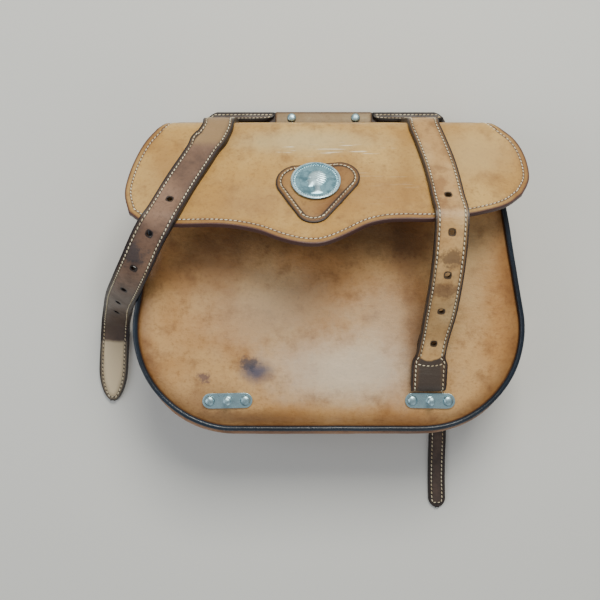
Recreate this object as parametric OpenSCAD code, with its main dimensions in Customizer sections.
// Leather motorcycle saddlebag with a loose flap, two stud-and-hole straps and a rear tie strap.
// It lies on its back: X across the bag, Y towards the mouth, Z out of the front.
// The origin is on the surface it lies on, at the middle of the body.

/* [Body] */
// Half of the body's greatest width
half_w = 155; // [120:1:200]
// Distance from the origin down to the bottom of the body
bottom_y = 134; // [110:1:170]
// Radius of the two bottom corners
corner_r = 80; // [50:1:100]
// Lean of the sides towards the mouth, in degrees
side_lean = 9.2; // [0:0.2:14]
// Height of the front face above the surface the bag lies on
front_z = 83.6; // [60:0.2:120]
// Distance from the origin up to the top edge of the back panel
back_top = 122; // [100:1:150]
// Distance from the origin up to the top edge of the front panel
front_top = 72; // [40:1:90]

/* [Leather] */
// Thickness of the front and back panels
panel_t = 4; // [2.5:0.1:6]
// Thickness of the gusset
gusset_t = 3.2; // [2:0.1:5]
// Width of the gusset's turned seam edges
seam_w = 12; // [8:0.5:18]
// Thickness of the bands sewn on the back
band_t = 3; // [2:0.1:5]
// Radius of the piping in the front seam
front_piping_r = 2.6; // [1.5:0.1:4]
// Radius of the piping in the back seam
back_piping_r = 2; // [1.5:0.1:2.6]
// Thickness of the grain layer of the flap and straps
grain_t = 2.4; // [1.2:0.1:4]
// Thickness of the lining under the grain layer
lining_t = 1.6; // [0.8:0.1:3]

/* [Flap] */
// Half of the flap's width where it bends over the mouth
flap_half_w = 134; // [100:1:150]
// Height of the flap's front, at the middle of its leather, over the front panel's top edge
flap_rise = 17.6865; // [8:0.5:40]
// Lean of that length over the mouth, in degrees
flap_lean = 12; // [4:1:16]
// Radius of the bend, at the middle of the leather
flap_bend_r = 14; // [8:1:24]
// Slope at which the front of the flap stands, in degrees
flap_slope = 36; // [28:1:46]
// Length of the front of the flap from the bend to its straight edge
flap_drop = 95; // [80:1:120]
// Extra length of the dip in the middle of the edge
flap_dip = 26; // [0:1:40]
// Half of the width across the flap's round ends
lobe_half_w = 157; // [125:1:200]
// Radius of the flap's round ends
lobe_r = 40; // [25:1:45]
// Radius of that dip
dip_r = 60; // [40:1:90]

/* [Concho] */
// Sideways place of the concho, its patch and the flap's dip
concho_x = -11; // [-30:1:30]
// Distance of the concho below the flap's bend
concho_v = 62; // [45:1:75]
// Radius of the coin
coin_r = 19; // [12:0.5:24]
// Thickness of the coin
coin_t = 2.6; // [1.6:0.1:4]
// Thickness of the patch under the coin
patch_t = 2.2; // [1.2:0.1:4]
// Radius of the coin's screw post
post_r = 2.6; // [1.8:0.1:4]

/* [Straps] */
// Width of the two front straps
strap_w = 25; // [18:0.5:32]
// Distance of each strap from the middle where it leaves the back
strap_x = 84; // [60:1:105]
// Radius of the strap holes
hole_r = 2.2; // [1.6:0.1:3.4]
// Distance between the strap holes
hole_pitch = 32; // [24:1:36]
// Distance from the flap's bend to the first strap hole
first_hole = 80; // [60:1:100]
// Length of the rounded strap tips
tip_len = 24; // [14:1:30]
// Width of the rear tie strap
rear_w = 15; // [10:0.5:25]
// Sideways place of the rear tie strap
rear_x = 100; // [40:1:110]
// Free length of the rear tie strap
rear_len = 78; // [50:1:120]

/* [Hardware] */
// Sideways place of the stud plates
stud_x = 81; // [60:1:100]
// Distance of the stud plates below the origin
stud_y = 111.5; // [90:0.5:125]
// Length of a stud plate
plate_l = 40; // [34:1:50]
// Width of a stud plate
plate_w = 12; // [10:0.5:16]
// Thickness of a stud plate
plate_t = 1.5; // [1:0.1:2.5]
// Distance between the two rivets of a plate
plate_pitch = 28.5; // [24:0.5:36]
// Radius of a rivet's head
rivet_r = 4; // [3:0.1:5]
// Radius of a rivet's shank
shank_r = 1.6; // [1:0.1:2.2]
// Radius of the stud's head
stud_r = 3.2; // [2.8:0.1:4.5]
// Radius of the stud's neck
neck_r = 2; // [1.4:0.1:2.5]
// Length of the stud's neck
neck_l = 4.6; // [3:0.1:8]
// Straight height of the stud's head
stud_h = 2; // [1.5:0.1:3]
// Height of a rivet's dome
dome_h = 2; // [1.2:0.1:2]

/* [Hanging band] */
// Half of the width of the yoke across the back
yoke_half_w = 108; // [95:1:125]
// Distance that the yoke stands above the back panel
yoke_up = 15; // [11:1:30]
// Width of the plain strip on the yoke
strip_l = 86; // [60:1:120]
// Height of that strip
strip_h = 11; // [10:0.5:20]
// Thickness of that strip
strip_t = 2.4; // [1.6:0.1:2.6]
// Distance between the strip's rivets
strip_pitch = 57; // [40:1:76]

/* [Clearances] */
// Gap between pieces that move past each other
gap = 0.3; // [0.2:0.05:0.6]
// Gap round a shank in its hole
fit = 0.05; // [0.02:0.01:0.1]

/* [Hidden] */
$fn = 48;
leather_t = grain_t + lining_t;          // flap and strap thickness
back_z = band_t;                         // underside of the back panel
inside_z = back_z + panel_t;             // inner face of the back panel
panel_z = front_z - panel_t;             // inner face of the front panel
corner_x = half_w - corner_r;            // centre of a bottom corner
corner_y = corner_r - bottom_y;
hinge_y = back_top + leather_t / 2 + 2 * gap;
hinge_z = inside_z + leather_t / 2;
leg_a = 90 + flap_lean;                  // direction of the flap's first length, in the YZ plane
face_a = 180 - flap_slope;               // direction of the flap's front
bend_run = flap_bend_r * (dir(leg_a + 90) - dir(face_a + 90));
leg_l = (front_z + flap_rise - hinge_z - bend_run.y - (hinge_y + bend_run.x - front_top) * tan(flap_slope))
        / (sin(leg_a) + cos(leg_a) * tan(flap_slope)); // so that the front clears the body's depth
leg_end = [hinge_y, hinge_z] + leg_l * dir(leg_a);
bend_c = leg_end + flap_bend_r * dir(leg_a + 90);
bend_end = bend_c - flap_bend_r * dir(face_a + 90);
strap_n = leather_t + gap;               // a strap's middle above the flap's middle
lip = flap_pt(0, flap_drop, strap_n);    // where the straps leave the flap
lay_z = front_z + gap + leather_t / 2;   // middle of a strap that lies on the front
steps = 4;                               // stations per stretch of a strap's route
root_w = 26;                             // width of the flap's sewn margin
plate_top = -stud_y + plate_w / 2;
burr_t = 1;
fold_r = (leather_t + gap) / 2;
strap_base = 8;                          // height of a strap's foot along the flap's first length
lift_v = leather_t / 2 + 2 * gap;        // place of the straps' hinge line on the flap's front
start_spare = 6;                         // strap cut off square at its hinge line
stitch_edge = 3;                         // leather left outside the rear strap's rivets
rear_hinge_y = bottom_y + front_piping_r + band_t / 2 + 2 * gap;
anchor_l = rear_hinge_y - bottom_y + 18; // length of the rear strap's fixed end
swing_room = band_t / 2 + gap;           // room for the rear strap's end to turn in

// Where the left strap goes after it leaves the flap: over the side and down to the ground
left_route = [
    flap_pt(-strap_x - 4, lift_v - start_spare, strap_n), flap_pt(-strap_x - 20, 42, strap_n),
    flap_pt(-strap_x - 36, 80, strap_n), flap_pt(-strap_x - 42, 94, strap_n + 0.6),
    [-half_w + 19, lip.y - 16, lip.z - 4], [-half_w + 5, lip.y - 37, lip.z - 16],
    [-half_w - 6, lip.y - 51, front_z + 14], [-half_w - 18, lip.y - 62, front_z - 18],
    [-half_w - 26, lip.y - 71, 32], [-half_w - 32, lip.y - 83, 9],
    [-half_w - 34, lip.y - 98, 2.6], [-half_w - 35, lip.y - 114, leather_t / 2],
    [-half_w - 35, lip.y - 153, leather_t / 2]];
left_sides = [
    [0.95, -0.25, 0.18], [0.94, -0.27, 0.2], [0.94, -0.27, 0.2], [0.94, -0.3, 0.1],
    [0.92, -0.38, 0], [0.9, -0.42, -0.1], [0.84, -0.5, -0.2], [0.82, -0.55, -0.1],
    [0.9, -0.4, 0], [0.95, -0.2, 0], [1, -0.1, 0], [1, 0, 0], [1, 0, 0]];

// Where the right strap goes: over the flap's edge, down to the front, folded under above the stud
right_route = [
    flap_pt(strap_x - 7, lift_v - start_spare, strap_n), flap_pt(strap_x + 1, 42, strap_n),
    flap_pt(strap_x + 4, 80, strap_n), flap_pt(strap_x + 5, 94, strap_n + 0.6),
    [strap_x + 4, lip.y - 19, lip.z + 2], [strap_x + 2, lip.y - 48, lip.z - 6],
    [strap_x + 1, lip.y - 72, front_z + 27], [strap_x, lip.y - 92, front_z + 11.5],
    [strap_x - 2, plate_top + 26, lay_z + 2 * fold_r], [strap_x - 3.5, plate_top + 8, lay_z + 2 * fold_r]];
fold_c = [strap_x - 4, plate_top + 6, lay_z + fold_r];
tuck_end = [strap_x - 1, plate_top + 58, lay_z];

left_path = concat(smooth(left_route), tip(left_route[11], left_route[12]));
left_across = concat(smooth(left_sides), [for (i = [0 : 8]) left_sides[12]]);
right_path = concat(smooth(right_route),
    [for (i = [0 : 8]) fold_c + fold_r * [0, -sin(22.5 * i), cos(22.5 * i)]],
    tip([fold_c.x, fold_c.y, lay_z], tuck_end));
right_across = [for (i = [0 : len(right_path) - 1]) [1, 0, 0]];

function dir(a) = [cos(a), sin(a)];
// A point on the flap's front: x across, v along it from the bend, n out from its middle
function flap_pt(x, v, n) = let(p = bend_end + v * dir(face_a) + n * dir(face_a - 90)) [x, p.x, p.y];
function unit(v) = v / norm(v);
// A smooth curve through four neighbouring points
function curve(a, b, c, d, t) =
    0.5 * (2 * b + (c - a) * t + (2 * a - 5 * b + 4 * c - d) * t * t + (3 * b - a - 3 * c + d) * t * t * t);
// The same through a whole route, up to its last point but one
function smooth(p) = let(n = len(p) - 1)
    [for (i = [0 : n - 2], k = [0 : steps - 1])
        curve(p[max(i - 1, 0)], p[i], p[i + 1], p[min(i + 2, n)], k / steps)];
// Length of a route from point i to its end
function left_over(p, i) = i >= len(p) - 1 ? 0 : norm(p[i + 1] - p[i]) + left_over(p, i + 1);
// Points of a straight last stretch, closer together towards the tip
function tip(a, b) = let(l = norm(b - a), u = unit(b - a))
    [for (f = [1, 0.8, 0.62, 0.44, 0.3, 0.18, 0.09, 0.03, 0]) b - u * min(l, f * tip_len)];
function tip_share(d) = d >= tip_len ? 1 : sqrt(1 - 0.96 * pow((tip_len - d) / tip_len, 2));
function tangent(p, i) = unit(p[min(i + 1, len(p) - 1)] - p[max(i - 1, 0)]);
function across(p, s, i) = let(t = tangent(p, i)) unit(s[i] - (s[i] * t) * t);
// The place of a hole at a distance along a route: [point, normal]
function at(p, s, d, i = 0) = let(l = norm(p[i + 1] - p[i]))
    d <= l || i >= len(p) - 3
        ? [p[i] + (p[i + 1] - p[i]) * d / l, cross(tangent(p, i), across(p, s, i))]
        : at(p, s, d - l, i + 1);

// Body outline, moved outwards by d and cut off at a given height
module outline(d, top) {
    r = corner_r + d;
    lean_dy = top - corner_y - r * sin(side_lean);
    top_x = corner_x + r * cos(side_lean) - lean_dy * tan(side_lean);
    arc = [for (k = [0 : 16]) let(a = side_lean - (90 + side_lean) * k / 16)
              [corner_x, corner_y] + r * dir(a)];
    polygon(concat([[top_x, top]], arc,
                   [for (k = [16 : -1 : 0]) [-arc[k].x, arc[k].y]], [[-top_x, top]]));
}

// Everything on the bag's side of the slanting mouth
module below_mouth() {
    rotate([90, 0, 90]) linear_extrude(4 * half_w, center = true)
        polygon([[-2 * bottom_y, 0], [back_top - gap, 0], [back_top - gap, inside_z + gusset_t],
                 [front_top, panel_z], [-2 * bottom_y, panel_z]]);
}

// A round cord of radius r laid on the body's outline at height z
module piping(r, z, top) {
    sides = 10;
    s = corner_r * dir(side_lean) + [corner_x, corner_y];
    end = [s.x - (top - s.y) * tan(side_lean), top];
    half = concat([for (k = [0 : 3]) end + (s - end) * k / 4],
                  [for (k = [0 : 16]) [corner_x, corner_y] + corner_r * dir(side_lean - (90 + side_lean) * k / 16)]);
    path = concat(half, [for (k = [len(half) - 1 : -1 : 0]) [-half[k].x, half[k].y]]);
    n = len(path);
    rings = [for (i = [0 : n - 1]) let(t = unit(path[min(i + 1, n - 1)] - path[max(i - 1, 0)]))
        for (k = [0 : sides - 1]) let(a = 360 * (k + 0.5) / sides)
            [path[i].x + r * cos(a) * t.y, path[i].y - r * cos(a) * t.x, z + r * sin(a)]];
    polyhedron(rings, concat([[for (k = [0 : sides - 1]) k]],
        [for (i = [0 : n - 2], k = [0 : sides - 1]) let(a = i * sides, b = a + sides, m = (k + 1) % sides)
            [a + k, b + k, b + m, a + m]],
        [[for (k = [sides - 1 : -1 : 0]) (n - 1) * sides + k]]));
}

// A leather ribbon along a path, from n0 to n1 out from its middle, with a round tip
module ribbon(path, sides, w, n0, n1) {
    n = len(path);
    corners = [for (i = [0 : n - 1]) let(t = tangent(path, i), a = across(path, sides, i), m = cross(t, a),
                   h = a * w / 2 * tip_share(left_over(path, i)))
        each [path[i] - h + m * n0, path[i] + h + m * n0, path[i] + h + m * n1, path[i] - h + m * n1]];
    polyhedron(corners, concat([[0, 1, 2], [0, 2, 3]],
        [for (i = [0 : n - 2], k = [0 : 3]) let(a = 4 * i, b = a + 4, m = (k + 1) % 4)
            each k == 2 ? [[a + 2, b + 2, b + 3], [a + 2, b + 3, a + 3]]
                        : [[a + k, b + k, a + m], [a + m, b + k, b + m]]],
        [[4 * n - 4, 4 * n - 2, 4 * n - 3], [4 * n - 4, 4 * n - 1, 4 * n - 2]]));
}

// Strap holes, square to the leather, from a first distance along the path
module strap_holes(path, sides, first, count) {
    for (k = [0 : count - 1]) {
        h = at(path, sides, first + k * hole_pitch);
        translate(h[0]) multmatrix(facing(h[1])) cylinder(r = hole_r, h = 3 * leather_t, center = true);
    }
}
// The turn that takes Z to direction m
function facing(m) = let(x = unit(cross([0, 1, 0.3], m)), y = cross(m, x))
    [[x.x, y.x, m.x, 0], [x.y, y.y, m.y, 0], [x.z, y.z, m.z, 0], [0, 0, 0, 1]];

// A length of leather over the flap's bend, from a height up the first length, between n0 and n1
// out from the flap's middle
module over_bend(w, foot, n0, n1) {
    start = [hinge_y, hinge_z] + foot * dir(leg_a);
    a0 = leg_a - 90;
    a1 = face_a - 90;
    rotate([90, 0, 90]) linear_extrude(w, center = true)
        polygon(concat([start + n0 * dir(a0), start + n1 * dir(a0)],
            [for (k = [0 : 8]) bend_c + (flap_bend_r + n1) * dir(a0 + (a1 - a0) * k / 8)],
            [for (k = [8 : -1 : 0]) bend_c + (flap_bend_r + n0) * dir(a0 + (a1 - a0) * k / 8)]));
}

// Puts children on the flap's front: X across, Y back up towards the bend, Z out of the leather
module on_flap(n = 0) {
    translate(flap_pt(0, 0, n)) rotate([-flap_slope, 0, 0]) children();
}

// Outline of the flap's front: round ends and a soft dip under the concho
module flap_front() {
    join = 0.2; // overlap with the bend, so that the layer is one solid
    offset(r = -lobe_r) offset(r = lobe_r) {
        hull() for (s = [-1, 1]) {
            translate([s * (flap_half_w - 1), join - 1]) square([2, 2], center = true);
            translate([s * (lobe_half_w - lobe_r), -flap_drop + lobe_r]) circle(lobe_r, $fn = 64);
        }
        translate([concho_x, -flap_drop + dip_r - flap_dip]) circle(dip_r, $fn = 96);
    }
}

module flap_layer(n0, n1) {
    difference() {
        union() {
            over_bend(2 * flap_half_w, 0, n0, n1);
            on_flap(n0) linear_extrude(n1 - n0) flap_front();
        }
        on_flap(0) translate([concho_x, -concho_v, 0]) cylinder(r = post_r + fit, h = 30, center = true);
    }
}

// A rivet at the origin, its head's underside at z = 0, domed upwards, its shank going down
module rivet(length) {
    rotate_extrude() polygon(concat([[0, -length], [shank_r, -length], [shank_r, 0], [rivet_r, 0]],
        [for (k = [1 : 8]) [rivet_r * cos(90 * k / 8), dome_h * sin(90 * k / 8)]]));
}

module at_rivets(pitch) {
    for (s = [-1, 1]) translate([s * pitch / 2, 0, 0]) children();
}

module rivet_holes(pitch) {
    at_rivets(pitch) cylinder(r = shank_r + fit, h = 60, center = true);
}

// Puts children on the front face at a stud plate: s is -1 on the left and 1 on the right
module at_stud(s) {
    translate([s * stud_x, -stud_y, front_z]) children();
}

module back_panel() {
    color("#8a5a33") difference() {
        translate([0, 0, back_z]) linear_extrude(panel_t) outline(-back_piping_r - fit, back_top);
        at_rear_rivets() cylinder(r = shank_r + fit, h = 60, center = true);
    }
}

module gusset() {
    color("#9a6236") difference() {
      intersection() {
        union() {
            translate([0, 0, inside_z]) linear_extrude(panel_z - inside_z) difference() {
                outline(0, back_top);
                outline(-gusset_t, back_top + gusset_t);
            }
            for (z = [inside_z, panel_z - gusset_t]) translate([0, 0, z]) linear_extrude(gusset_t)
                difference() {
                    outline(0, back_top);
                    outline(-seam_w, back_top + gusset_t);
                }
        }
        below_mouth();
      }
      at_rear_rivets() cylinder(r = shank_r + fit, h = 60, center = true);
    }
}

module front_panel() {
    color("#b87c46") difference() {
        translate([0, 0, panel_z]) linear_extrude(panel_t) outline(-front_piping_r - fit, front_top);
        for (s = [-1, 1]) at_stud(s) rivet_holes(plate_pitch);
    }
}

module front_piping() {
    color("#20242c") piping(front_piping_r, panel_z + front_piping_r, front_top);
}

module back_piping() {
    color("#20242c") piping(back_piping_r, inside_z - back_piping_r, back_top - 1);
}

// The flap's margin, sewn inside the top of the back panel
module flap_root() {
    color("#c08a4e") translate([0, back_top - root_w / 2, inside_z + leather_t / 2])
        cube([2 * (flap_half_w - 2 * seam_w), root_w, leather_t], center = true);
}

// The band across the top of the back that the straps grow out of
module strap_yoke() {
    color("#4b3628") difference() {
        linear_extrude(band_t) hull() for (s = [-1, 1]) {
            translate([s * (yoke_half_w - 14), back_top + yoke_up - 14]) circle(14);
            translate([s * (yoke_half_w - 4), back_top - 24]) circle(4);
        }
        at_strip() rivet_holes(strip_pitch);
    }
}

module at_strip() {
    translate([-2, back_top + yoke_up - strip_h / 2, band_t]) children();
}

module mount_strip() {
    color("#b08a58") at_strip() difference() {
        translate([0, 0, strip_t / 2]) cube([strip_l, strip_h, strip_t], center = true);
        rivet_holes(strip_pitch);
    }
}

module mount_strip_rivets() {
    color("#8b8f8c") at_strip() at_rivets(strip_pitch)
        translate([0, 0, strip_t]) rivet(strip_t + band_t);
}

// The wear patch over the lower back, which the bag rests on
module back_patch() {
    color("#5a3f2c") linear_extrude(band_t) hull() for (s = [-1, 1], y = [-bottom_y + 24, 8])
        translate([s * (corner_x + 36), y]) circle(5);
}

// The sewn and riveted end of the rear tie strap
module rear_strap_anchor() {
    color("#3c2c22") difference() {
        translate([rear_x - rear_w / 2, swing_room - rear_hinge_y, 0])
            cube([rear_w, anchor_l - swing_room, band_t]);
        at_rear_rivets() cylinder(r = shank_r + fit, h = 60, center = true);
    }
}

module at_rear_rivets() {
    for (s = [-1, 1]) translate([rear_x + s * (rear_w / 2 - stitch_edge - shank_r / 2), -bottom_y + 12.5, 0])
        children();
}

module rear_strap_rivets() {
    color("#8b8f8c") at_rear_rivets() {
        cylinder(r = shank_r, h = inside_z + gusset_t);
        translate([0, 0, inside_z + gusset_t]) cylinder(r1 = rivet_r - 1.2, r2 = rivet_r - 2, h = dome_h - 0.6);
    }
}

// The rear tie strap, rolled at its hinge line and round at its free end
module rear_strap() {
    t = band_t - 0.2;
    color("#3c2c22") translate([rear_x, -rear_hinge_y - gap, t / 2]) {
        intersection() {
            translate([-rear_w / 2, -rear_len, -t / 2]) cube([rear_w, rear_len, t]);
            translate([0, 0, -t]) linear_extrude(2 * t) hull() {
                translate([0, rear_w - rear_len]) circle(rear_w / 2);
                translate([-rear_w / 2, -1]) square([rear_w, 1]);
            }
        }
    }
}

module stud_plate(s) {
    color("#8d9a9c") at_stud(s) difference() {
        linear_extrude(plate_t) hull() at_rivets(plate_l - plate_w) circle(plate_w / 2);
        rivet_holes(plate_pitch);
        cylinder(r = neck_r + fit, h = 60, center = true);
    }
}

module stud_post(s) {
    top = plate_t + neck_l;
    color("#9aa5a6") at_stud(s) rotate_extrude() polygon(concat(
        [[0, 0], [neck_r, 0], [neck_r, top - 0.8], [stud_r, top], [stud_r, top + stud_h]],
        [for (k = [1 : 8]) [stud_r * cos(90 * k / 8), top + stud_h + 1.4 * sin(90 * k / 8)]]));
}

module plate_rivets(s) {
    color("#9aa5a6") at_stud(s) at_rivets(plate_pitch)
        translate([0, 0, plate_t]) rivet(plate_t + panel_t + burr_t);
}

module plate_burrs(s) {
    color("#8a7048") at_stud(s) at_rivets(plate_pitch) translate([0, 0, -panel_t - burr_t]) difference() {
        cylinder(r = rivet_r, h = burr_t);
        cylinder(r = shank_r + fit, h = 9, center = true);
    }
}

module flap() {
    color("#c9a062") flap_layer(lining_t - leather_t / 2, leather_t / 2);
}

module flap_lining() {
    color("#8f6a44") flap_layer(-leather_t / 2, lining_t - leather_t / 2);
}

// The rounded three-cornered patch under the coin
module concho_patch() {
    color("#b5894f") on_flap(leather_t / 2) translate([concho_x, -concho_v, 0]) difference() {
        linear_extrude(patch_t) hull() {
            translate([-13.5, 2]) circle(16);
            translate([18.5, 6]) circle(15);
            translate([-1.5, -30]) circle(10);
        }
        cylinder(r = post_r + fit, h = 30, center = true);
    }
}

// A coin with a raised rim
module concho() {
    color("#9fb0b2") on_flap(leather_t / 2 + patch_t) translate([concho_x, -concho_v, 0])
        rotate_extrude() polygon([[0, 0], [coin_r - 0.4, 0], [coin_r, 0.4], [coin_r, coin_t - 0.3],
            [coin_r - 0.3, coin_t], [coin_r - 1.2, coin_t], [coin_r - 1.8, coin_t - 0.6], [0, coin_t - 0.6]]);
}

// The coin's threaded post, through the patch and the flap
module concho_post() {
    l = patch_t + leather_t;
    color("#8d9a9c") on_flap(leather_t / 2 + patch_t) translate([concho_x, -concho_v, -l]) difference() {
        cylinder(r = post_r, h = l);
        translate([0, 0, -1]) cylinder(r = shank_r + fit, h = l - 0.6);
    }
}

// The slotted screw that holds the post from inside the flap
module concho_screw() {
    head_t = 1.4;
    l = patch_t + leather_t - 2;
    color("#8d9a9c") on_flap(-leather_t / 2) translate([concho_x, -concho_v, -head_t]) difference() {
        union() {
            cylinder(r = 2 * post_r, h = head_t);
            cylinder(r = shank_r, h = head_t + l);
        }
        translate([-3 * post_r, -0.5, -1]) cube([6 * post_r, 1, 1.6]);
    }
}

// Cuts the straps square at their hinge line
module above_hinge_line() {
    on_flap(0) translate([-half_w, -lift_v, -leather_t]) cube([2 * half_w, 30, 6 * leather_t]);
}

module left_layer(n0, n1) {
    difference() {
        ribbon(left_path, left_across, strap_w, n0, n1);
        strap_holes(left_path, left_across, first_hole + start_spare + 4, 6);
        above_hinge_line();
    }
}

module right_layer(n0, n1) {
    difference() {
        ribbon(right_path, right_across, strap_w, n0, n1);
        strap_holes(right_path, right_across, first_hole + start_spare - 4, 5);
        above_hinge_line();
    }
}

// The stretch of a strap that lies against the top of the flap
module strap_root(x) {
    translate([x, 0, 0]) over_bend(strap_w, strap_base, strap_n - leather_t / 2, strap_n + leather_t / 2);
}

module left_strap_root() {
    color("#6e4a2e") strap_root(-strap_x - 5);
}

module right_strap_root() {
    color("#b98a50") strap_root(strap_x - 7);
}

module left_strap() {
    color("#6e4a2e") left_layer(lining_t - leather_t / 2, leather_t / 2);
}

module left_strap_lining() {
    color("#4b3628") left_layer(-leather_t / 2, lining_t - leather_t / 2);
}

module right_strap() {
    color("#b98a50") right_layer(lining_t - leather_t / 2, leather_t / 2);
}

module right_strap_lining() {
    color("#4b3628") right_layer(-leather_t / 2, lining_t - leather_t / 2);
}

back_panel();
gusset();
front_panel();
front_piping();
back_piping();
flap_root();
strap_yoke();
mount_strip();
mount_strip_rivets();
back_patch();
rear_strap_anchor();
rear_strap_rivets();
stud_plate(-1);  // left_stud_plate
stud_post(-1);  // left_stud_post
plate_rivets(-1);  // left_plate_rivets
plate_burrs(-1);  // left_plate_burrs
stud_plate(1);  // right_stud_plate
stud_post(1);  // right_stud_post
plate_rivets(1);  // right_plate_rivets
plate_burrs(1);  // right_plate_burrs
flap();
flap_lining();
concho_patch();
concho();
concho_post();
concho_screw();
left_strap_root();
right_strap_root();
left_strap();
left_strap_lining();
right_strap();
right_strap_lining();
rear_strap();
